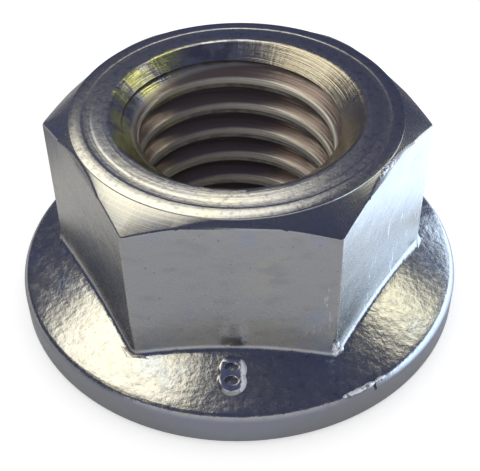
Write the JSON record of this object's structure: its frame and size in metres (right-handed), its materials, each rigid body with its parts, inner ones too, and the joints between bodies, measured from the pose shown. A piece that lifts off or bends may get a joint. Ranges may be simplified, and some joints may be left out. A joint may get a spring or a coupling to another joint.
{
  "type": "serrated hexagon flange nut",
  "caption": "Hexagon nut with a wide sloping flange under it, a through thread, a raised turned face on top and locking teeth on the bearing face.",
  "frame": {"origin": "centre of the bearing face, on the thread's axis", "axes": "+Z along the thread's axis, away from the bearing face; the hexagon's corners lie on X and two of its flats face +Y and -Y"},
  "size_m": [0.0248, 0.0248, 0.012],
  "materials": {
    "zinc_plated_steel": "bright zinc plating"
  },
  "bodies": {
    "root": {"flange_nut": "zinc_plated_steel"}
  },
  "joints": []
}
